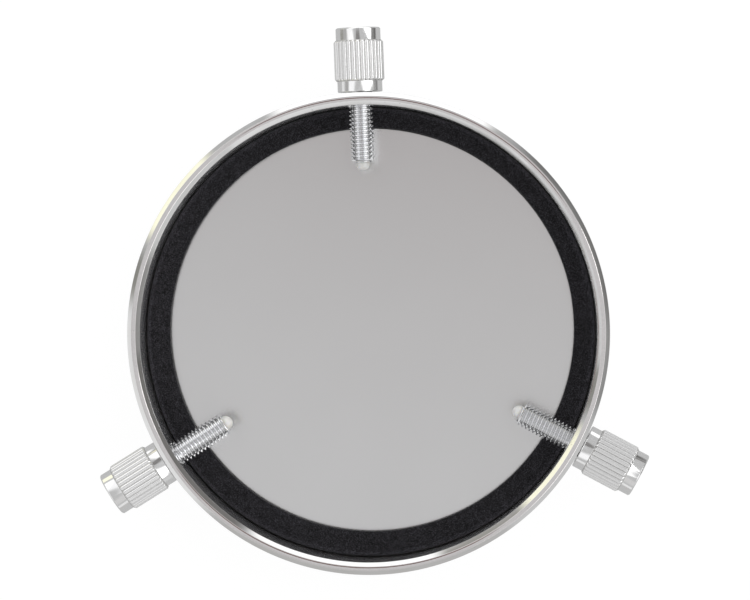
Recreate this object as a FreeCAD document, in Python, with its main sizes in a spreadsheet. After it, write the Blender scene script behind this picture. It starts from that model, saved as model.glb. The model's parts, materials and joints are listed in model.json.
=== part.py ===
import FreeCAD, Part
import Sketcher
import math
import os

from FreeCAD import Placement, Rotation, Vector

# A full-aperture telescope solar filter. A turned aluminium cell has a front lip, with a
# coated glass behind it, and three thumbscrews with nylon tips that clamp the telescope's tube.
# Millimetres. The origin is the centre of the front face, and +Z runs to the open mouth.
# Each thumbscrew is modelled along +X, with x as the distance from the cell's axis.

# Driving dimensions
sizes = [
    # turned cell
    ("cell_outer_dia", 116),
    ("wall_thick", 3),
    ("cell_height", 27),
    ("lip_thick", 2),
    ("lip_width", 6),
    ("rim_outer_chamfer", 1),
    ("rim_inner_chamfer", 1),
    ("front_edge_chamfer", 0.6),
    # glass and the rings that hold it
    ("gasket_thick", 0.5),
    ("gasket_set_back", 0.5),
    ("gasket_wall_gap", 0.6),
    ("glass_thick", 2),
    ("glass_wall_gap", 0.5),
    ("retainer_thick", 1.5),
    ("retainer_width", 5.3),
    ("retainer_wall_gap", 0.1),
    ("felt_thick", 1.5),
    ("felt_width", 5.4),
    ("felt_wall_gap", 0.4),
    # thumbscrews
    ("screw_count", 3),
    ("screw_from_rim", 8),
    ("stud_dia", 5.9),
    ("stud_clearance", 0.05),
    ("stud_reach", 13.8),
    ("stud_end_chamfer", 0.4),
    ("stud_in_knob", 8),
    ("knob_bore_clearance", 0.02),
    ("knob_seat_gap", 0.2),
    ("inner_collar_dia", 10.8),
    ("inner_collar_length", 2.6),
    ("grip_dia", 12),
    ("grip_length", 9.9),
    ("grip_chamfer", 0.5),
    ("outer_collar_dia", 10.8),
    ("outer_collar_length", 3),
    ("knob_end_chamfer", 0.3),
    ("flute_count", 30),
    ("flute_depth", 0.45),
    ("flute_width", 0.95),
    # nylon tips
    ("tip_dia", 3.4),
    ("tip_clearance", 0.03),
    ("tip_depth", 3),
    ("tip_proud", 1.9),
]

doc = FreeCAD.newDocument("SolarFilter")
sheet = doc.addObject("Spreadsheet::Sheet", "Sizes")
for row, (name, value) in enumerate(sizes, start=1):
    sheet.set(f"A{row}", name)
    sheet.set(f"B{row}", str(value))
    sheet.setAlias(f"B{row}", name)
doc.recompute()

# Radii and heights that several pieces share, written once from the sheet
outer = "Sizes.cell_outer_dia / 2"
bore = f"({outer} - Sizes.wall_thick)"
opening = f"({bore} - Sizes.lip_width)"
gasket_top = "(Sizes.lip_thick + Sizes.gasket_thick)"
glass_top = f"({gasket_top} + Sizes.glass_thick)"
retainer_top = f"({glass_top} + Sizes.retainer_thick)"
felt_top = f"({retainer_top} + Sizes.felt_thick)"
screw_height = "(Sizes.cell_height - Sizes.screw_from_rim)"
knob_seat = f"({outer} + Sizes.knob_seat_gap)"
grip_start = f"({knob_seat} + Sizes.inner_collar_length)"
grip_end = f"({grip_start} + Sizes.grip_length)"
knob_end = f"({grip_end} + Sizes.outer_collar_length)"
stud_inner = f"({bore} - Sizes.stud_reach)"
stud_outer = f"({knob_seat} + Sizes.stud_in_knob)"
tip_root = f"({stud_inner} + Sizes.tip_depth)"


def new_body(label):
    body = doc.addObject("PartDesign::Body", label)
    body.Label = label
    return body


def origin_part(body, role):
    return next(f for f in body.Origin.OriginFeatures if f.Role == role)


def sketch_on(body, role, name):
    sketch = body.newObject("Sketcher::SketchObject", name)
    sketch.AttachmentSupport = [(origin_part(body, role), "")]
    sketch.MapMode = "FlatFace"
    return sketch


def value_of(expression):
    return float(sheet.evalExpression(expression))


def fix(sketch, line, point, x, y):
    """Dimension a point from the sketch's origin, or put it on an axis where its distance is 0.

    A distance of None is left to the sketch's other constraints.
    """
    # the sketcher's own codes for its axes and its origin
    horizontal, vertical, origin = -1, -2, (-1, 1)
    for name, distance, axis in (("DistanceX", x, vertical), ("DistanceY", y, horizontal)):
        if distance == "0":
            sketch.addConstraint(Sketcher.Constraint("PointOnObject", line, point, axis))
        elif distance is not None:
            number = value_of(distance)
            bind(sketch, Sketcher.Constraint(name, *origin, line, point, number), distance)


def fix_start(sketch, line, x, y):
    fix(sketch, line, 1, x, y)


def fix_centre(sketch, curve, x, y):
    fix(sketch, curve, 3, x, y)


def bind(sketch, dimension, expression):
    """Add a dimension to a sketch and let the sheet drive it."""
    number = sketch.addConstraint(dimension)
    sketch.setExpression(f"Constraints[{number}]", expression)


def draw_loop(sketch, sides):
    """Draw sides that each end where the next one starts, and give the number of the first."""
    first = sketch.GeometryCount
    sketch.addGeometry(sides, False)
    start, end = 1, 2
    for i in range(len(sides)):
        following = first + (i + 1) % len(sides)
        sketch.addConstraint(Sketcher.Constraint("Coincident", first + i, end, following, start))
    return first


def outline(sketch, corners):
    """Draw a closed outline whose corners are pairs of expressions on the sheet."""
    points = [Vector(value_of(x), value_of(y), 0) for x, y in corners]
    first = draw_loop(sketch, [Part.LineSegment(a, b) for a, b in zip(points, points[1:] + points[:1])])
    for i, (x, y) in enumerate(corners):
        fix_start(sketch, first + i, x, y)


def turned(label, corners, plane="XZ_Plane", axis="V_Axis"):
    """A body turned about the sketch's axis from a closed outline."""
    body = new_body(label)
    profile = sketch_on(body, plane, f"{label}_profile")
    outline(profile, corners)
    return turn_outline(body, profile, axis)


def turn_outline(body, profile, axis):
    turn = body.newObject("PartDesign::Revolution", f"{body.Name}_turn")
    turn.Profile = profile
    turn.ReferenceAxis = (profile, [axis])
    turn.Angle = 360
    body.Tip = turn
    doc.recompute()
    return body


def ring(label, inner, outside, bottom, top):
    """A flat ring, or a disc where inner is 0."""
    return turned(label, [(inner, bottom), (outside, bottom), (outside, top), (inner, top)])


def cut_along(body, sketch, length, name):
    """Pocket a sketch for a length, on the side of its plane that the caller then sets."""
    cut = body.newObject("PartDesign::Pocket", name)
    cut.Profile = sketch
    cut.setExpression("Length", length)
    body.Tip = cut
    return cut


def repeat_around(body, features, role, count):
    """Copy features evenly round one of the body's own axes."""
    pattern = body.newObject("PartDesign::PolarPattern", f"{body.Name}_pattern")
    pattern.Originals = features
    pattern.Axis = (origin_part(body, role), [""])
    pattern.Angle = 360
    pattern.setExpression("Occurrences", count)
    body.Tip = pattern
    doc.recompute()


# The cell: an outer wall with a chamfered rim and a lip that carries the glass
def make_cell_ring():
    front = "Sizes.front_edge_chamfer"
    body = turned(
        "cell_ring",
        [
            (opening, "0"),
            (f"{outer} - {front}", "0"),
            (outer, front),
            (outer, "Sizes.cell_height - Sizes.rim_outer_chamfer"),
            (f"{outer} - Sizes.rim_outer_chamfer", "Sizes.cell_height"),
            (f"{bore} + Sizes.rim_inner_chamfer", "Sizes.cell_height"),
            (bore, "Sizes.cell_height - Sizes.rim_inner_chamfer"),
            (bore, "Sizes.lip_thick"),
            (opening, "Sizes.lip_thick"),
        ],
    )
    # one screw hole through the wall towards +Y, then one for each screw
    hole_dia = "Sizes.stud_dia + 2 * Sizes.stud_clearance"
    circle = sketch_on(body, "XZ_Plane", "screw_hole_circle")
    middle = Vector(0, value_of(screw_height), 0)
    circle.addGeometry(Part.Circle(middle, Vector(0, 0, 1), value_of(hole_dia) / 2), False)
    fix_centre(circle, 0, "0", screw_height)
    bind(circle, Sketcher.Constraint("Diameter", 0, value_of(hole_dia)), hole_dia)
    hole = cut_along(body, circle, outer, "screw_hole")
    doc.recompute()
    repeat_around(body, [hole], "Z_Axis", "Sizes.screw_count")
    return body


# The knob: two plain collars with a fluted grip between them, bored for its stud
def make_knob(label):
    grip, end_cut = "Sizes.grip_dia / 2", "Sizes.knob_end_chamfer"
    inner_collar, outer_collar = "Sizes.inner_collar_dia / 2", "Sizes.outer_collar_dia / 2"
    stud_bore = "Sizes.stud_dia / 2 + Sizes.knob_bore_clearance"
    body = turned(
        label,
        [
            (knob_seat, stud_bore),
            (knob_seat, inner_collar),
            (grip_start, inner_collar),
            (grip_start, grip),
            (grip_end, grip),
            (grip_end, outer_collar),
            (f"{knob_end} - {end_cut}", outer_collar),
            (knob_end, f"{outer_collar} - {end_cut}"),
            (knob_end, "0"),
            (stud_outer, "0"),
            (stud_outer, stud_bore),
        ],
        "XY_Plane",
        "H_Axis",
    )
    flute = cut_along(body, flute_vee(body), "Sizes.grip_length", f"{label}_flute")
    flute.Reversed = True
    # each ridge is bevelled at both ends, across its own width
    ridge_width = "Sizes.grip_dia * tan(180 deg / Sizes.flute_count)"
    bevels = cut_along(body, ridge_bevels(body), ridge_width, f"{label}_bevels")
    bevels.Midplane = True
    doc.recompute()
    repeat_around(body, [flute, bevels], "X_Axis", "Sizes.flute_count")
    return body


def flute_vee(body):
    """The V of one flute, half a step round from the first ridge, and open past the grip."""
    vee = sketch_on(body, "YZ_Plane", f"{body.Name}_flute_vee")
    vee.setExpression(".AttachmentOffset.Base.z", grip_start)
    vee.setExpression(".AttachmentOffset.Rotation.Angle", "180 deg / Sizes.flute_count")
    root = "Sizes.grip_dia / 2 - Sizes.flute_depth"
    # the V is its full width at the grip's surface, and twice as wide as far again from its root
    beyond = "Sizes.grip_dia / 2 + Sizes.flute_depth"
    outline(vee, [(root, "0"), (beyond, "Sizes.flute_width"), (beyond, "-Sizes.flute_width")])
    return vee


def ridge_bevels(body):
    """Two triangles that cut the corners off the first ridge, one at each end of the grip."""
    sketch = sketch_on(body, "XY_Plane", f"{body.Name}_ridge_bevels")
    low = "Sizes.grip_dia / 2 - Sizes.grip_chamfer"
    above = "Sizes.grip_dia / 2 + Sizes.grip_chamfer"
    for end, inward in ((grip_start, "+"), (grip_end, "-")):
        outline(sketch, [(end, low), (f"{end} {inward} 2 * Sizes.grip_chamfer", above), (end, above)])
    return sketch


# The stud: a rod through the cell's wall, bored at its inner end for the nylon tip
def make_stud(label):
    radius, chamfer = "Sizes.stud_dia / 2", "Sizes.stud_end_chamfer"
    tip_bore = "Sizes.tip_dia / 2 + Sizes.tip_clearance"
    return turned(
        label,
        [
            (stud_inner, tip_bore),
            (stud_inner, f"{radius} - {chamfer}"),
            (f"{stud_inner} + {chamfer}", radius),
            (stud_outer, radius),
            (stud_outer, "0"),
            (tip_root, "0"),
            (tip_root, tip_bore),
        ],
        "XY_Plane",
        "H_Axis",
    )


# The nylon tip: a pin seated in the stud, with a round nose that touches the tube
def make_tip(label):
    radius, nose = "Sizes.tip_dia / 2", f"({stud_inner} - Sizes.tip_proud)"
    ball = f"({nose} + {radius})"
    body = new_body(label)
    profile = sketch_on(body, "XY_Plane", f"{label}_profile")
    corners = [(tip_root, "0"), (tip_root, radius), (ball, radius)]
    points = [Vector(value_of(nose), 0, 0)]
    points += [Vector(value_of(x), value_of(y), 0) for x, y in corners]
    sides = [Part.LineSegment(a, b) for a, b in zip(points, points[1:])]
    round_nose = len(sides)
    circle = Part.Circle(Vector(value_of(ball), 0, 0), Vector(0, 0, 1), value_of(radius))
    sides.append(Part.ArcOfCircle(circle, math.pi / 2, math.pi))
    draw_loop(profile, sides)
    # the nose needs no distance of its own, since it is where the round meets the axis
    fix_start(profile, 0, None, "0")
    for i, (x, y) in enumerate(corners, start=1):
        fix_start(profile, i, x, y)
    fix_centre(profile, round_nose, ball, "0")
    return turn_outline(body, profile, "H_Axis")


def place_on_wall(body, index):
    """Turn a thumbscrew piece to its place round the cell, the first one towards +Y."""
    along_x, towards_y = Vector(1, 0, 0), Vector(0, 1, 0)
    body.Placement = Placement(Vector(0, 0, 0), Rotation(along_x, towards_y))
    body.setExpression(".Placement.Base.z", screw_height)
    angle = f"90 deg + {index} * 360 deg / Sizes.screw_count"
    body.setExpression(".Placement.Rotation.Angle", angle)


cell_ring = make_cell_ring()
front_gasket = ring(
    "front_gasket",
    f"{opening} + Sizes.gasket_set_back",
    f"{bore} - Sizes.gasket_wall_gap",
    "Sizes.lip_thick",
    gasket_top,
)
filter_glass = ring(
    "filter_glass",
    "0",
    f"{bore} - Sizes.glass_wall_gap",
    gasket_top,
    glass_top,
)
retainer_edge = f"({bore} - Sizes.retainer_wall_gap)"
retaining_ring = ring(
    "retaining_ring",
    f"{retainer_edge} - Sizes.retainer_width",
    retainer_edge,
    glass_top,
    retainer_top,
)
felt_edge = f"({bore} - Sizes.felt_wall_gap)"
felt_ring = ring(
    "felt_ring",
    f"{felt_edge} - Sizes.felt_width",
    felt_edge,
    retainer_top,
    felt_top,
)
pieces = [cell_ring, front_gasket, filter_glass, retaining_ring, felt_ring]
for index in range(int(sheet.screw_count)):
    number = index + 1
    screw = [make_knob(f"knob_{number}"), make_stud(f"stud_{number}"), make_tip(f"nylon_tip_{number}")]
    for piece in screw:
        place_on_wall(piece, index)
    pieces += screw
doc.recompute()

# Nothing is written unless every object recomputed and every piece is one valid solid
for thing in doc.Objects:
    if "Invalid" in thing.State or "Error" in thing.State:
        raise RuntimeError(f"{thing.Label} did not recompute: {thing.State}")
for piece in pieces:
    shape = piece.Shape
    if shape.isNull() or not shape.isValid() or len(shape.Solids) != 1:
        raise RuntimeError(f"{piece.Label} is not one valid solid")
    print(f"{piece.Label:16s} volume {shape.Volume:10.2f} mm3")

os.makedirs("parts", exist_ok=True)
for piece in pieces:
    piece.Shape.exportStep(f"parts/{piece.Label}.step")
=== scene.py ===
import bpy
import json
import math

from mathutils import Matrix, Vector


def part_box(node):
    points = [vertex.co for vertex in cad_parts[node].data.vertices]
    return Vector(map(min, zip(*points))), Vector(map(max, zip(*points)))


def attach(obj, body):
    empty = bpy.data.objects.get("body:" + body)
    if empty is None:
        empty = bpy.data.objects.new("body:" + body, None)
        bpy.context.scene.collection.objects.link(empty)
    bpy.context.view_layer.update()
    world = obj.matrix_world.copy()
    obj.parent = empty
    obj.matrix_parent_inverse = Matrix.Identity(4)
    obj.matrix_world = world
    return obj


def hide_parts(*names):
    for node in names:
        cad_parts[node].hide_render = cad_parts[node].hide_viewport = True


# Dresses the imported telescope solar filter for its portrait. Everything is in metres, in the
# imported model's own frame: the glass faces down, the open mouth faces up along +Z, and the
# first thumbscrew points along +Y.

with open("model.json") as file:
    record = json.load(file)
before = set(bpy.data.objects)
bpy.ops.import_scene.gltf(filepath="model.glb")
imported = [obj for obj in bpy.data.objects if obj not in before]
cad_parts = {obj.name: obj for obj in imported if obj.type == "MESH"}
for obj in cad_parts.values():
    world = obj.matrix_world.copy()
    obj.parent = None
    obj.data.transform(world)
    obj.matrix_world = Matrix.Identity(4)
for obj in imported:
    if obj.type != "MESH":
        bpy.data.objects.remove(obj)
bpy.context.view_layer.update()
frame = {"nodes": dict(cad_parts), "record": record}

mm = 0.001
tiny = mm / 1000
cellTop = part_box("cell_ring")[1]
cellRadius = round(cellTop[0], 4)
rimHeight = round(cellTop[2], 4)
screws = [row for row in frame["record"]["behaviour"]["joints"] if row["type"] == "hinge"]
screwHeight = screws[0]["pos_m"][2]


# Shaping by hand

def pickNothing():
    if bpy.context.object and bpy.context.object.mode != "OBJECT":
        bpy.ops.object.mode_set(mode="OBJECT")
    bpy.ops.object.select_all(action="DESELECT")


def takeUp(piece):
    pickNothing()
    piece.select_set(True)
    bpy.context.view_layer.objects.active = piece


def editWhere(piece, chosen):
    # into edit mode with the vertices picked by their place
    takeUp(piece)
    bpy.ops.object.mode_set(mode="EDIT")
    bpy.ops.mesh.select_mode(type="VERT")
    bpy.ops.mesh.select_all(action="DESELECT")
    bpy.ops.object.mode_set(mode="OBJECT")
    for vertex in piece.data.vertices:
        vertex.select = chosen(vertex.co)
    bpy.ops.object.mode_set(mode="EDIT")


def drawProfile(name, corners):
    # one vertex, carried from corner to corner beside the axis; a corner is (radius, height) in mm
    pickNothing()
    bpy.ops.mesh.primitive_plane_add(size=mm, location=(0, 0, 0))
    piece = bpy.context.object
    piece.name = piece.data.name = name
    bpy.ops.object.mode_set(mode="EDIT")
    bpy.ops.mesh.merge(type="CENTER")
    bpy.ops.transform.translate(value=(corners[0][0] * mm, 0, corners[0][1] * mm))
    for here, there in zip(corners, corners[1:]):
        stroke = ((there[0] - here[0]) * mm, 0, (there[1] - here[1]) * mm)
        bpy.ops.mesh.extrude_vertices_move(TRANSFORM_OT_translate={"value": stroke})
    return piece


def turnOnLathe(name, corners, sides):
    piece = drawProfile(name, corners)
    bpy.ops.mesh.select_all(action="SELECT")
    bpy.ops.mesh.spin(steps=sides, angle=2 * math.pi, center=(0, 0, 0), axis=(0, 0, 1))
    bpy.ops.mesh.select_all(action="SELECT")
    bpy.ops.mesh.remove_doubles(threshold=tiny)
    bpy.ops.mesh.normals_make_consistent(inside=False)
    bpy.ops.object.mode_set(mode="OBJECT")
    return piece


def applyModifier(piece, kind, **settings):
    takeUp(piece)
    modifier = piece.modifiers.new(kind.lower(), kind)
    for name, value in settings.items():
        setattr(modifier, name, value)
    bpy.ops.object.modifier_apply(modifier=modifier.name)


def softenEdges(piece, width, angle=30):
    limit = math.radians(angle)
    applyModifier(piece, "BEVEL", width=width, segments=2, limit_method="ANGLE", angle_limit=limit)


def smoothShade(piece, angle=35):
    takeUp(piece)
    bpy.ops.object.shade_smooth_by_angle(angle=math.radians(angle))


def copyOf(piece, name):
    takeUp(piece)
    bpy.ops.object.duplicate()
    twin = bpy.context.object
    twin.name = twin.data.name = name
    return twin


def rememberPlace(piece):
    # patterns on a thumbscrew follow its own axis, so each vertex keeps the place it was turned at
    takeUp(piece)
    place = piece.data.attributes.new("turnedAt", "FLOAT_VECTOR", "POINT")
    for vertex, kept in zip(piece.data.vertices, place.data):
        kept.vector = vertex.co


def layAlongScrew(piece, screw):
    # from upright on the cell's axis to its own place in the wall
    axis = Vector(screw["axis"])
    takeUp(piece)
    piece.rotation_euler = (0, math.pi / 2, math.atan2(axis.y, axis.x))
    piece.location = (0, 0, screwHeight)
    bpy.ops.object.transform_apply(location=True, rotation=True, scale=True)


def giveFinish(piece, finish):
    piece.data.materials.clear()
    piece.data.materials.append(finish)


# Shader sums written as Python

class Wire:
    # one output of a node; sums on it add Math nodes
    def __init__(self, bench, socket):
        self.bench, self.socket = bench, socket

    def math(self, operation, *others):
        values = dict(enumerate((self, *others)))
        return self.bench.node("ShaderNodeMath", {"operation": operation}, values)

    def __add__(self, other):
        return self.math("ADD", other)

    def __sub__(self, other):
        return self.math("SUBTRACT", other)

    def __mul__(self, other):
        return self.math("MULTIPLY", other)

    def __truediv__(self, other):
        return self.math("DIVIDE", other)

    def __rsub__(self, other):
        return self * -1 + other

    __radd__ = __add__
    __rmul__ = __mul__

    def between(self, low, high):
        # 0 at low, 1 at high, eased; high may be the smaller
        values = {"Value": self, "From Min": low, "From Max": high}
        return self.bench.node("ShaderNodeMapRange", {"interpolation_type": "SMOOTHSTEP"}, values)


class Bench:
    # lays out the nodes of one material or of the world
    def __init__(self, tree):
        self.tree = tree
        tree.nodes.clear()

    def node(self, kind, settings=None, values=None, out=0):
        made = self.tree.nodes.new(kind)
        for name, setting in (settings or {}).items():
            setattr(made, name, setting)
        for name, value in (values or {}).items():
            if isinstance(value, Wire):
                self.tree.links.new(value.socket, made.inputs[name])
            else:
                made.inputs[name].default_value = value
        return Wire(self, made.outputs[out])

    def blend(self, factor, one, other):
        colours = {0: factor, 6: one, 7: other}
        return self.node("ShaderNodeMix", {"data_type": "RGBA"}, colours, out=2)

    def split(self, vector):
        made = self.node("ShaderNodeSeparateXYZ", None, {0: vector})
        return [Wire(self, socket) for socket in made.socket.node.outputs]

    def join(self, x, y, z):
        return self.node("ShaderNodeCombineXYZ", None, {0: x, 1: y, 2: z})

    def placeInMm(self, kept=None):
        if kept:
            source = self.node("ShaderNodeAttribute", {"attribute_name": kept}, out="Vector")
        else:
            source = self.node("ShaderNodeTexCoord", out="Object")
        scaled = {0: source, "Scale": 1 / mm}
        return self.node("ShaderNodeVectorMath", {"operation": "SCALE"}, scaled)

    def noise(self, vector, size, detail=2.0, roughness=0.5):
        # size is the width of one lump, in the vector's own units
        values = {"Vector": vector, "Scale": 1 / size, "Detail": detail, "Roughness": roughness}
        return self.node("ShaderNodeTexNoise", None, values)

    def bump(self, height, depth):
        # depth is how far a height of 1 stands out, in metres
        return self.node("ShaderNodeBump", None, {"Strength": 1.0, "Distance": depth, "Height": height})


def grey(value, red=1.0, green=1.0, blue=1.0):
    return (value * red, value * green, value * blue, 1)


def newFinish(name):
    finish = bpy.data.materials.new(name)
    finish.use_nodes = True
    return finish, Bench(finish.node_tree)


def paint(bench, values):
    shader = bench.node("ShaderNodeBsdfPrincipled", None, values)
    output = bench.tree.nodes.new("ShaderNodeOutputMaterial")
    bench.tree.links.new(shader.socket, output.inputs["Surface"])


# Finishes

turnedMetal = {
    "colour": 0.90,
    "roughness": (0.03, 0.055),  # between the polish of one tool mark and the next
    "grooved": 0.6,
    "boreRadius": cellRadius / mm - 3.0,
    "boreRoughness": 0.12,
    "markWidth": 0.11,  # mm between tool marks
    "markLength": 40,  # mm along the turning
    "markDepth": 0.0000003,
    "markTone": 0.12,
    "grainSize": 0.28,
    "grainTone": 0.16,
    "speckSize": 0.5,
    "speckTone": 0.5,
    "speckRoughness": 0.2,
    "stainSize": 9,
    "stainTone": 0.965,
    "stainRoughness": 0.015,
    "dull": 0.55,
}


def makeTurnedAluminium():
    s = turnedMetal
    finish, bench = newFinish("turnedAluminium")
    place = bench.placeInMm()
    x, y, z = bench.split(place)
    radius = (x * x + y * y).math("SQRT")
    # marks run round the cell, on its flats, its chamfers and its walls alike
    across = radius * 1.37 + z
    around = s["markLength"] / cellRadius * mm
    lengthwise = bench.join(across / s["markWidth"], x / radius / around, y / radius / around)
    marks = bench.noise(lengthwise, 1, 3, 0.6)
    stains = bench.noise(place, s["stainSize"], 3)
    grain = bench.noise(place, s["grainSize"], 2)
    specks = bench.noise(place, s["speckSize"], 2).between(0.70, 0.76)
    low, high = s["roughness"]
    stained = stains.between(0.4, 0.7) * s["stainRoughness"]
    rough = marks.between(0.35, 0.7) * (high - low) + low + stained + specks * s["speckRoughness"]
    inBore = radius.between(s["boreRadius"] + 0.06, s["boreRadius"] + 0.03)
    rough = rough + inBore * s["boreRoughness"]
    # the faced rim is grainier than the rest, and painted a little rosier: the rose tint is a painted
    # reflection of the dim rose patch overhead
    onFace = z.between(rimHeight / mm - 0.05, rimHeight / mm - 0.02)
    stain = grey(s["colour"] * s["stainTone"], 1.0, 0.995, 0.985)
    tone = bench.blend(stains.between(0.35, 0.7), grey(s["colour"]), stain)
    # painted reflection: the whole faced rim is tinted rose
    tone = bench.blend(onFace, tone, grey(s["colour"], 1.02, 0.985, 0.98))
    grained = (grain.between(0.35, 0.75) * onFace) * s["grainTone"]
    dull = marks.between(0.3, 0.75) * s["markTone"] + grained + specks * s["speckTone"]
    tone = bench.blend(dull, tone, grey(s["dull"]))
    height = (marks - specks * 2) * (1 - inBore * 0.7)
    paint(bench, {"Base Color": tone, "Metallic": 1.0, "Roughness": rough, "Anisotropic": s["grooved"],
                  "Anisotropic Rotation": 0.25, "Normal": bench.bump(height, s["markDepth"])})
    return finish


knobMetal = {
    "colour": 0.95,
    "roughness": (0.06, 0.13),
    "metal": 0.95,
    "gripBloom": 0.12,  # a pale bloom that dulls the fluted grip
    "gripRoughness": 0.05,
    "rootShadeAndDirt": 0.60,
    "grainTone": 0.05,
    "grainSize": 0.35,
    "markWidth": 0.09,
    "markDepth": 0.0000005,
    "grainDepth": 0.0000012,
}


def makeKnobAluminium():
    s = knobMetal
    finish, bench = newFinish("knobAluminium")
    place = bench.placeInMm("turnedAt")
    x, y, z = bench.split(place)
    radius = (x * x + y * y).math("SQRT")
    marks = bench.noise(bench.join((radius + z * 1.4) / s["markWidth"], x / radius, y / radius), 1, 3, 0.6)
    grain = bench.noise(place, s["grainSize"], 3, 0.6)
    onGrip = radius.between(5.42, 5.5)  # the fluted grip stands proud of the plain collars
    low, high = s["roughness"]
    rough = marks.between(0.35, 0.7) * (high - low) + low + onGrip * s["gripRoughness"]
    # painted shade and dirt: the flute roots are darkened, standing in for the shade between the ridges as
    # well as for dirt
    rootShadeAndDirtMask = (1 - radius.between(5.55, 5.78)) * onGrip
    dull = rootShadeAndDirtMask * s["rootShadeAndDirt"] + grain.between(0.4, 0.8) * s["grainTone"]
    tone = bench.blend(dull, grey(s["colour"]), grey(0.42, 1.02, 1.0, 0.96))
    fine = bench.bump(marks, s["markDepth"])
    height = {"Strength": 1.0, "Distance": s["grainDepth"], "Height": grain * onGrip, "Normal": fine}
    paint(bench, {"Base Color": tone, "Metallic": s["metal"] - onGrip * s["gripBloom"], "Roughness": rough,
                  "Normal": bench.node("ShaderNodeBump", None, height)})
    return finish


studMetal = {
    "colour": 0.95,
    "metal": 0.90,
    "roughness": (0.06, 0.13),
    "sawnEnd": 41.2,  # the inner end is sawn and stays dull
    "sawnRoughness": 0.35,
}


def makeThreadSteel():
    s = studMetal
    finish, bench = newFinish("threadSteel")
    place = bench.placeInMm("turnedAt")
    x, y, z = bench.split(place)
    radius = (x * x + y * y).math("SQRT")
    grain = bench.noise(place, 0.25, 3, 0.6)
    paintedRootShade = 1 - radius.between(2.35, 2.75)  # painted shade: the thread roots are darkened where shade falls between the flanks
    sawn = z.between(s["sawnEnd"] + 0.06, s["sawnEnd"] + 0.02)
    tone = bench.blend(paintedRootShade * 0.40, grey(s["colour"], 0.99, 0.995, 1.01), grey(0.55))
    tone = bench.blend(sawn, tone, grey(0.38))
    low, high = s["roughness"]
    rough = grain.between(0.3, 0.8) * (high - low) + low + sawn * s["sawnRoughness"]
    paint(bench, {"Base Color": tone, "Metallic": s["metal"], "Roughness": rough,
                  "Normal": bench.bump(grain, 0.000001)})
    return finish


nylon = {
    "light": grey(0.88, 1.0, 0.995, 0.975),
    "shaded": grey(0.79, 1.0, 0.99, 0.96),
    "roughness": 0.24,
    "cloudSize": 0.9,
    "cloudRoughness": 0.15,
    "fineSize": 0.12,
    "fineDepth": 0.000008,
    "seeThrough": 0.15,
    "scatter": 0.6,
    "scatterReach": (0.0012, 0.0011, 0.0009),
}


def makeWhiteNylon():
    s = nylon
    finish, bench = newFinish("whiteNylon")
    place = bench.placeInMm("turnedAt")
    cloud = bench.noise(place, s["cloudSize"], 2)
    fine = bench.noise(place, s["fineSize"], 2)
    tone = bench.blend(cloud.between(0.3, 0.75), s["light"], s["shaded"])
    rough = cloud * s["cloudRoughness"] + s["roughness"]
    paint(bench, {"Base Color": tone, "Roughness": rough, "Transmission Weight": s["seeThrough"],
                  "Subsurface Weight": s["scatter"], "Subsurface Radius": s["scatterReach"],
                  "Subsurface Scale": 1.0, "Normal": bench.bump(fine, s["fineDepth"])})
    return finish


feltCloth = {
    "dark": grey(0.0045, 1.0, 0.97, 1.08),
    "light": grey(0.060, 1.0, 0.96, 1.12),
    "lumpSize": 1.6,
    "pepperSize": 0.2,
    "fibreWidth": 0.09,
    "fibreTurns": 36,
    "fuzzFrom": 53.3,  # mm from the axis, where the cut outer edge begins to fluff up
    "fuzzTo": 54.2,
    "strayFrom": 52.6,
    "strayTo": 54.0,
    "relief": 0.00012,
}


def makeBlackFelt():
    s = feltCloth
    finish, bench = newFinish("blackFelt")
    place = bench.placeInMm()
    x, y, z = bench.split(place)
    radius = (x * x + y * y).math("SQRT")
    lumps = bench.noise(place, s["lumpSize"], 3, 0.6)
    pepper = bench.noise(place, s["pepperSize"], 2)
    turns = s["fibreTurns"]
    strands = bench.join(radius / s["fibreWidth"], x / radius * turns, y / radius * turns)
    fibres = bench.noise(strands, 1, 3, 0.65)
    stray = bench.noise(strands, 1.7, 1).between(0.66, 0.74)
    fuzz = radius.between(s["fuzzFrom"], s["fuzzTo"]) * pepper.between(0.3, 0.7)
    light = lumps.between(0.35, 0.75) * 0.12 + fibres.between(0.5, 0.85) * 0.30
    light = light + pepper.between(0.42, 0.72) * 0.75 + fuzz * 0.55
    light = light + stray * (radius.between(s["strayFrom"], s["strayTo"]) + 0.25)
    tone = bench.blend(light, s["dark"], s["light"])
    height = lumps * 0.6 + fibres * 0.5 + pepper * 0.4
    paint(bench, {"Base Color": tone, "Roughness": 0.95, "Sheen Weight": 0.12, "Sheen Roughness": 0.5,
                  "Specular IOR Level": 0.15, "Normal": bench.bump(height, s["relief"])})
    return finish


glassCoat = {
    "light": 0.885,
    "dark": 0.875,
    "roughness": 0.19,
    "veilSize": 22,
    "veilRoughness": 0.02,
    "veilDepth": 0.0000004,
    "pinholeSize": 0.8,
    "pinholeTone": 0.7,
}


def makeCoatedGlass():
    s = glassCoat
    finish, bench = newFinish("coatedGlass")
    place = bench.placeInMm()
    veil = bench.noise(place, s["veilSize"], 2)
    pinholes = bench.noise(place, s["pinholeSize"], 1).between(0.80, 0.84)
    tone = bench.blend(veil.between(0.3, 0.7), grey(s["light"]), grey(s["dark"]))
    tone = bench.blend(pinholes * 0.3, tone, grey(s["pinholeTone"]))
    rough = veil * s["veilRoughness"] + s["roughness"]
    paint(bench, {"Base Color": tone, "Metallic": 1.0, "Roughness": rough,
                  "Normal": bench.bump(veil, s["veilDepth"])})
    return finish


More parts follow.
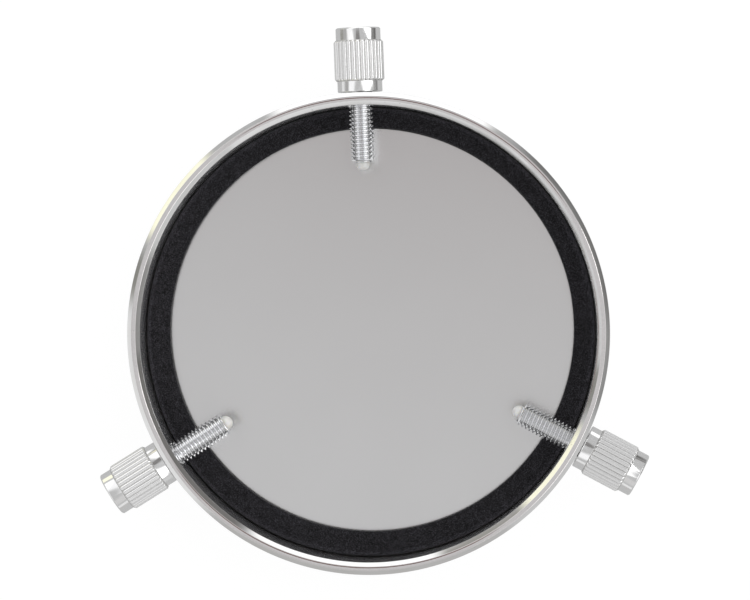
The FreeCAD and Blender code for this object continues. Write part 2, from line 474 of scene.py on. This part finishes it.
def makeBlackAnodised():
    finish, bench = newFinish("blackAnodised")
    x, y, z = bench.split(bench.placeInMm())
    radius = (x * x + y * y).math("SQRT")
    marks = bench.noise(bench.join((radius * 1.37 + z) / 0.1, x / radius, y / radius), 1, 2)
    tone = bench.blend(marks.between(0.3, 0.8), grey(0.014), grey(0.022, 1.0, 1.0, 1.08))
    paint(bench, {"Base Color": tone, "Metallic": 0.6, "Roughness": marks * 0.15 + 0.35,
                  "Normal": bench.bump(marks, 0.000002)})
    return finish


def makeBlackRubber():
    finish, bench = newFinish("blackRubber")
    grain = bench.noise(bench.placeInMm(), 0.3, 3)
    tone = bench.blend(grain.between(0.3, 0.8), grey(0.012), grey(0.022))
    paint(bench, {"Base Color": tone, "Roughness": grain * 0.2 + 0.6, "Normal": bench.bump(grain, 0.00001)})
    return finish


print("finishes")
finishes = {
    "machined_aluminium": makeTurnedAluminium(),
    "black_rubber": makeBlackRubber(),
    "coated_glass": makeCoatedGlass(),
    "black_anodised": makeBlackAnodised(),
    "black_felt": makeBlackFelt(),
    "knob_aluminium": makeKnobAluminium(),
    "stud_steel": makeThreadSteel(),
    "white_nylon": makeWhiteNylon(),
}


def dress(piece, body, node, slot):
    # puts a finished piece in the place of its CAD node
    smoothShade(piece)
    applyModifier(piece, "WEIGHTED_NORMAL", weight=50, keep_sharp=True)
    giveFinish(piece, finishes[slot])
    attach(piece, body)
    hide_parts(node)


# The cell: lip, wall and a rim chamfered on both edges, with a hole for each stud

cell = {
    "sides": 720,
    "outerRadius": cellRadius / mm,
    "height": rimHeight / mm,
    "wall": 3.0,
    "lipWidth": 6.0,
    "lipThick": 2.0,
    "rimChamfer": 1.0,
    "frontChamfer": 0.6,
    "edgeRound": 0.05 * mm,
    "holeRadius": 3.0,
    "holeSides": 64,
    "countersink": 0.3,
}


def makeCell():
    s = cell
    outer, bore = s["outerRadius"], s["outerRadius"] - s["wall"]
    lip, top, cut = bore - s["lipWidth"], s["height"], s["rimChamfer"]
    profile = [
        (lip, 0), (outer - s["frontChamfer"], 0), (outer, s["frontChamfer"]),
        (outer, top - cut), (outer - cut, top), (bore + cut, top), (bore, top - cut),
        (bore, s["lipThick"]), (lip, s["lipThick"]), (lip, 0),
    ]
    ring = turnOnLathe("cellRing", profile, s["sides"])
    softenEdges(ring, s["edgeRound"])
    hole, flare = s["holeRadius"], s["countersink"]
    drill = [
        (0, bore - 2), (hole + 2 + flare, bore - 2), (hole, bore + flare), (hole, outer - flare),
        (hole + 2 + flare, outer + 2), (0, outer + 2),
    ]
    for screw in screws:
        cutter = turnOnLathe("drill", drill, s["holeSides"])
        layAlongScrew(cutter, screw)
        applyModifier(ring, "BOOLEAN", operation="DIFFERENCE", solver="EXACT", object=cutter)
        bpy.data.objects.remove(cutter)
    dress(ring, "cell", "cell_ring", "machined_aluminium")
    return ring


print("cell")
cellPiece = makeCell()


# The felt: a die-cut ring, lumpy on top and a little ragged at its cut edges

felt = {
    "sides": 1500,
    "inner": 49.2,
    "outer": 54.6,
    "bottom": 6.0,
    "top": 7.5,
    "offCentre": (0.28, 0.55),  # the opening was cut by hand
    "edgeRound": 0.25,
    "steps": 9,  # loops across its face
    "lumpHeight": 0.16,
    "lumpSize": 0.7,
    "lumpDetail": 3,
    "lumpMiddle": 0.7,  # the share of a lump that sinks in
}


def makeFelt():
    s = felt
    inner, outer, top, low, r = s["inner"], s["outer"], s["top"], s["bottom"], s["edgeRound"]
    face = [inner + r + (outer - inner - 2 * r) * i / s["steps"] for i in range(s["steps"] + 1)]
    profile = [(inner, low), (inner, low + 0.5), (inner, top - r), (inner + 0.3 * r, top - 0.3 * r)]
    profile += [(radius, top) for radius in face]
    profile += [(outer - 0.3 * r, top - 0.3 * r), (outer, top - r), (outer, low), (inner, low)]
    pad = turnOnLathe("feltRing", profile, s["sides"])
    for vertex in pad.data.vertices:
        radius = vertex.co.xy.length / mm
        share = (outer - radius) / (outer - inner) * mm
        vertex.co.x += s["offCentre"][0] * share
        vertex.co.y += s["offCentre"][1] * share
    lumps = bpy.data.textures.new("feltLumps", "CLOUDS")
    lumps.noise_scale = s["lumpSize"] * mm
    lumps.noise_depth = s["lumpDetail"]
    applyModifier(pad, "DISPLACE", texture=lumps, strength=s["lumpHeight"] * mm, mid_level=s["lumpMiddle"])
    dress(pad, "cell", "felt_ring", "black_felt")
    return pad


print("felt")
feltPiece = makeFelt()


# The thumbscrews: a fluted knob, a threaded stud and a nylon tip, modelled upright on the
# cell's axis with the height as the distance from it, then laid along each screw

knob = {
    "perFlute": 12,
    "flutes": 30,
    "boreRadius": 2.97,
    "boreEnd": 66.2,
    "seat": 58.2,
    "gripFrom": 60.8,
    "gripTo": 70.7,
    "end": 73.7,
    "collarRadius": 5.4,
    "gripRadius": 6.0,
    "bevel": 0.5,
    "endChamfer": 0.3,
    "fluteDepth": 0.45,
    "ridgeRound": 0.65,  # 1 for a sine, less for fuller ridges
    "edgeRound": 0.045 * mm,
}


def makeKnob():
    s = knob
    collar, grip, bevel, end = s["collarRadius"], s["gripRadius"], s["bevel"], s["endChamfer"]
    gripFrom, gripTo = s["gripFrom"], s["gripTo"]
    profile = [
        (0, s["boreEnd"]), (s["boreRadius"], s["boreEnd"]), (s["boreRadius"], s["seat"]),
        (collar - end / 2, s["seat"]), (collar, s["seat"] + end / 2), (collar, gripFrom),
        (grip - bevel, gripFrom), (grip, gripFrom + bevel), (grip, gripTo - bevel), (grip - bevel, gripTo),
        (collar, gripTo), (collar, s["end"] - end), (collar - end, s["end"]), (0, s["end"]),
    ]
    piece = turnOnLathe("knob", profile, s["flutes"] * s["perFlute"])
    # rounded ridges with a narrow flute between each two, drawn in ring by ring from the flute's root
    step = 2 * math.pi / (s["flutes"] * s["perFlute"])
    half = s["perFlute"] // 2
    for offset in range(half):
        def onFlute(place):
            turn = round(math.atan2(place.y, place.x) / step) % s["perFlute"]
            onGrip = math.hypot(place.x, place.y) > (grip - 0.01) * mm
            return onGrip and abs(turn - half) == offset
        editWhere(piece, onFlute)
        rise = math.sin(math.pi / 2 * (offset / half) ** s["ridgeRound"])
        share = 1 - s["fluteDepth"] * (1 - rise) / grip
        bpy.ops.transform.resize(value=(share, share, 1), center_override=(0, 0, 0))
    bpy.ops.object.mode_set(mode="OBJECT")
    softenEdges(piece, s["edgeRound"], 25)
    rememberPlace(piece)
    return piece


thread = {
    "pitch": 1.0,
    "crest": 2.95,
    "root": 2.36,
    "rootFlat": 0.20,
    "crestFlat": 0.12,
    "steps": 48,
    "innerEnd": 41.2,
    "outerEnd": 66.2,
    "endChamfer": 0.62,
    "tipBore": 1.73,
    "tipBoreDepth": 3.0,
    "spare": 0.4,
    "blankSides": 96,
}


def makeStud():
    s = thread
    crest, root, pitch = s["crest"], s["root"], s["pitch"]
    flank = (pitch - s["rootFlat"] - s["crestFlat"]) / 2
    start = s["innerEnd"] - 1.5 * pitch
    turns = round((s["outerEnd"] - s["innerEnd"]) / pitch) + 3
    tooth = [
        (root, start), (root, start + s["rootFlat"]), (crest, start + s["rootFlat"] + flank),
        (crest, start + pitch - flank), (root, start + pitch),
    ]
    rod = drawProfile("thread", tooth)
    bpy.ops.object.mode_set(mode="OBJECT")
    applyModifier(rod, "SCREW", axis="Z", angle=2 * math.pi, screw_offset=pitch * mm, iterations=turns,
                  steps=s["steps"], render_steps=s["steps"], use_merge_vertices=True, merge_threshold=tiny)
    # the loose helical ends are cut square, a little past the length that stays
    spare = s["spare"]
    for height, outwards in ((s["innerEnd"] - spare, False), (s["outerEnd"] + spare, True)):
        editWhere(rod, lambda place: True)
        bpy.ops.mesh.bisect(plane_co=(0, 0, height * mm), plane_no=(0, 0, 1), use_fill=True,
                            clear_outer=outwards, clear_inner=not outwards)
    bpy.ops.mesh.select_all(action="SELECT")
    bpy.ops.mesh.remove_doubles(threshold=tiny)
    bpy.ops.mesh.normals_make_consistent(inside=False)
    bpy.ops.object.mode_set(mode="OBJECT")
    inner, outer, cut = s["innerEnd"], s["outerEnd"], s["endChamfer"]
    blank = turnOnLathe("blank", [
        (0, inner + s["tipBoreDepth"]), (s["tipBore"], inner + s["tipBoreDepth"]), (s["tipBore"], inner),
        (crest - cut, inner), (crest + 0.2, inner + cut + 0.2), (crest + 0.2, outer), (0, outer),
    ], s["blankSides"])
    applyModifier(rod, "BOOLEAN", operation="INTERSECT", solver="EXACT", object=blank)
    bpy.data.objects.remove(blank)
    rememberPlace(rod)
    return rod


tip = {
    "radius": 1.7,
    "nose": 39.3,
    "root": 44.2,
    "arcSteps": 12,
    "sides": 72,
}


def makeTip():
    s = tip
    ball = s["nose"] + s["radius"]
    profile = [(0, s["nose"])]
    for i in range(1, s["arcSteps"] + 1):
        swing = math.pi / 2 * i / s["arcSteps"]
        profile.append((s["radius"] * math.sin(swing), ball - s["radius"] * math.cos(swing)))
    profile += [(s["radius"], s["root"]), (0, s["root"])]
    piece = turnOnLathe("tip", profile, s["sides"])
    rememberPlace(piece)
    return piece


print("thumbscrews")
patterns = {
    "knob": (makeKnob(), "screw", "knob_aluminium"),
    "stud": (makeStud(), "screw", "stud_steel"),
    "nylon_tip": (makeTip(), "tip", "white_nylon"),
}
for number, screw in enumerate(screws, start=1):
    for kind, (pattern, carrier, slot) in patterns.items():
        piece = copyOf(pattern, f"{kind}Visual{number}")
        layAlongScrew(piece, screw)
        dress(piece, f"{carrier}_{number}", f"{kind}_{number}", slot)
for pattern, carrier, slot in patterns.values():
    bpy.data.objects.remove(pattern)


# The flat pieces of the CAD that keep their shape

print("glass and rings")
for node, slot in (
    ("filter_glass", "coated_glass"), ("front_gasket", "black_rubber"), ("retaining_ring", "black_anodised"),
):
    giveFinish(frame["nodes"][node], finishes[slot])


# The studio: a pale floor and an even white room for diffuse light. Polished metal sees soft
# boxes and flags, each at an azimuth and a height above the horizon, in degrees.

studio = {
    "floorRadius": 0.7,
    "floorGlow": 0.93,
    "floorPaint": 0.09,
    "room": 0.50,
    "zenith": 0.60,
    "zenithFrom": (72, 80),  # degrees above the horizon, where the room turns into the zenith
}
panels = [
    # name, azimuth, half width, lowest, highest, softness, brightness, tint
    ("right ring", 328, 40, 32, 70, 5, 1.15, (1.0, 1.0, 1.0)),
    ("left ring", 186, 54, 30, 60, 7, 1.00, (1.0, 1.0, 1.01)),
    ("white wall", 126, 24, 18, 56, 5, 1.20, (1.0, 1.0, 1.0)),
    ("front ring", 270, 34, 24, 50, 6, 0.62, (1.0, 0.99, 0.985)),
    ("back body", 90, 24, 56, 74, 5, 0.20, (1.0, 0.97, 0.95)),
    ("left shade", 182, 24, 8, 28, 3, 0.38, (1.0, 0.99, 0.98)),
    ("left sill", 192, 30, 0, 8, 2, 0.62, (1.0, 1.0, 1.0)),
    ("front sill", 263, 40, 0, 14, 2, 0.80, (1.0, 1.0, 1.0)),
    ("right sill", 320, 18, -14, 10, 4, 0.62, (1.0, 1.0, 1.0)),
    ("back box", 86, 27.5, -14, 7, 3, 1.24, (1.0, 1.0, 1.0)),
    ("warm sill", 122, 12, 9, 15, 3, 0.95, (1.0, 0.95, 0.70)),
    ("dark sill", 120, 12, 1, 7, 3, 0.34, (1.0, 0.97, 0.90)),
    ("warm window", 144, 11.5, -14, 8, 3, 1.12, (1.0, 0.985, 0.78)),
    ("narrow gap", 166, 6, -14, 8, 3, 0.28, (1.0, 0.99, 0.92)),
    ("left board", 198, 26, -14, -1, 6, 0.84, (1.0, 1.0, 1.0)),
    ("low front", 264, 36, -14, 0, 4, 0.50, (1.0, 0.99, 0.98)),
    ("low flag", 11, 36, -16, 0, 7, 0.19, (1.0, 0.99, 0.97)),
    ("low dark flag", 26, 24, -16, 0, 7, 0.105, (1.0, 0.97, 0.94)),
    ("high flag", 6, 30, 2, 10, 4, 0.29, (1.0, 0.99, 0.97)),
    ("high dark flag", 29, 27, 2, 10, 3, 0.185, (1.0, 0.97, 0.94)),
    ("lamp", 15, 9, 18, 62, 3, 3.2, (1.0, 1.0, 1.0)),
    ("lamp beside it", 327, 18, 16, 62, 4, 1.9, (1.0, 1.0, 1.0)),
]
overhead = {
    # the dim rose patch that the top of the rim mirrors: slopes from straight up, as a
    # ring's arc round the slope at which the camera stands
    "centre": (-0.0342, -0.0211),
    "across": (0.0414, 0.14),
    "azimuth": 77,
    "half": 43,
    "soft": 4,
    "innerSoft": 0.001,
    "outerSoft": 0.01,
    "light": (0.15, 0.082, 0.070, 1),
}
diffuse = {"tilt": 0.4, "azimuth": 50}


def makeSky():
    world = bpy.data.worlds.new("studioRoom")
    bpy.context.scene.world = world
    world.use_nodes = True
    bench = Bench(world.node_tree)
    x, y, z = bench.split(bench.node("ShaderNodeTexCoord", out="Generated"))
    azimuth = y.math("ARCTAN2", x) * (180 / math.pi)
    height = z.math("ARCSINE") * (180 / math.pi)
    light = grey(studio["room"])
    light = bench.blend(height.between(*studio["zenithFrom"]), light, grey(studio["zenith"], 1.0, 1.0, 1.01))
    for name, centre, half, low, high, soft, bright, tint in panels:
        aside = ((azimuth - (centre - 180)).math("FLOORED_MODULO", 360) - 180).math("ABSOLUTE")
        seen = aside.between(half + soft, half - soft)
        seen = seen * height.between(low - soft, low + soft) * height.between(high + soft, high - soft)
        light = bench.blend(seen, light, grey(bright, *tint))
    slopeX, slopeY = x / z - overhead["centre"][0], y / z - overhead["centre"][1]
    inner, outer = overhead["across"]
    slope = (slopeX * slopeX + slopeY * slopeY).math("SQRT")
    aside = (slopeY.math("ARCTAN2", slopeX) * (180 / math.pi) - overhead["azimuth"]).math("ABSOLUTE")
    half, soft = overhead["half"], overhead["soft"]
    innerSoft, outerSoft = overhead["innerSoft"], overhead["outerSoft"]
    patch = slope.between(inner - innerSoft, inner + innerSoft)
    patch = patch * slope.between(outer + outerSoft, outer - outerSoft)
    patch = patch * aside.between(half + soft, half - soft) * height.between(60, 70)
    light = bench.blend(patch, light, overhead["light"])
    path = bench.node("ShaderNodeLightPath", out="Is Glossy Ray")
    turn = math.radians(diffuse["azimuth"])
    evenLight = (x * math.cos(turn) + y * math.sin(turn)) * diffuse["tilt"] + 1.0
    seenLight = bench.blend(path, evenLight, light)
    glow = bench.node("ShaderNodeBackground", None, {"Color": seenLight, "Strength": 1.0})
    output = world.node_tree.nodes.new("ShaderNodeOutputWorld")
    world.node_tree.links.new(glow.socket, output.inputs["Surface"])


def makeFloor():
    pickNothing()
    bpy.ops.mesh.primitive_circle_add(vertices=128, radius=studio["floorRadius"], fill_type="NGON",
                                      location=(0, 0, -tiny))
    floor = bpy.context.object
    floor.name = floor.data.name = "floor"
    finish, bench = newFinish("paleFloor")
    paint(bench, {"Base Color": grey(studio["floorPaint"]), "Roughness": 0.9, "Specular IOR Level": 0.0,
                  "Emission Color": grey(1.0), "Emission Strength": studio["floorGlow"]})
    giveFinish(floor, finish)
    floor.visible_glossy = False


print("studio")
makeSky()
makeFloor()


# The camera, straight above the mouth and a little to the right and behind

lens = {
    "distance": 1.2,
    "rightward": 1.94,  # degrees from the cell's axis
    "upward": 1.24,
    "roll": 2.15,
    "focal": 240.3,
    "sensor": 36.0,
    "photoWidth": 750,
    "aimRight": 6.9,  # pixels from the rim's centre to the middle of the picture
    "aimUp": 33.75,
}


def placeCamera():
    s = lens
    roll = math.radians(s["roll"])
    right = Vector((math.cos(roll), -math.sin(roll), 0))
    up = Vector((math.sin(roll), math.cos(roll), 0))
    rim = Vector((0, 0, rimHeight))
    aside = right * math.tan(math.radians(s["rightward"])) + up * math.tan(math.radians(s["upward"]))
    eye = rim + (Vector((0, 0, 1)) + aside) * s["distance"]
    pixel = s["distance"] * s["sensor"] / s["focal"] / s["photoWidth"]
    aim = rim + (right * s["aimRight"] + up * s["aimUp"]) * pixel
    back = (eye - aim).normalized()
    side = up.cross(back).normalized()
    above = back.cross(side)
    camera = bpy.data.cameras.new("portrait")
    camera.lens, camera.sensor_width = s["focal"], s["sensor"]
    camera.clip_start, camera.clip_end = 0.05, 20
    holder = bpy.data.objects.new("portrait", camera)
    bpy.context.collection.objects.link(holder)
    turned = Matrix((side, above, back)).transposed().to_4x4()
    holder.matrix_world = Matrix.Translation(eye) @ turned
    bpy.context.scene.camera = holder


placeCamera()
bpy.context.scene.view_settings.view_transform = "Standard"

pickNothing()
print("done")
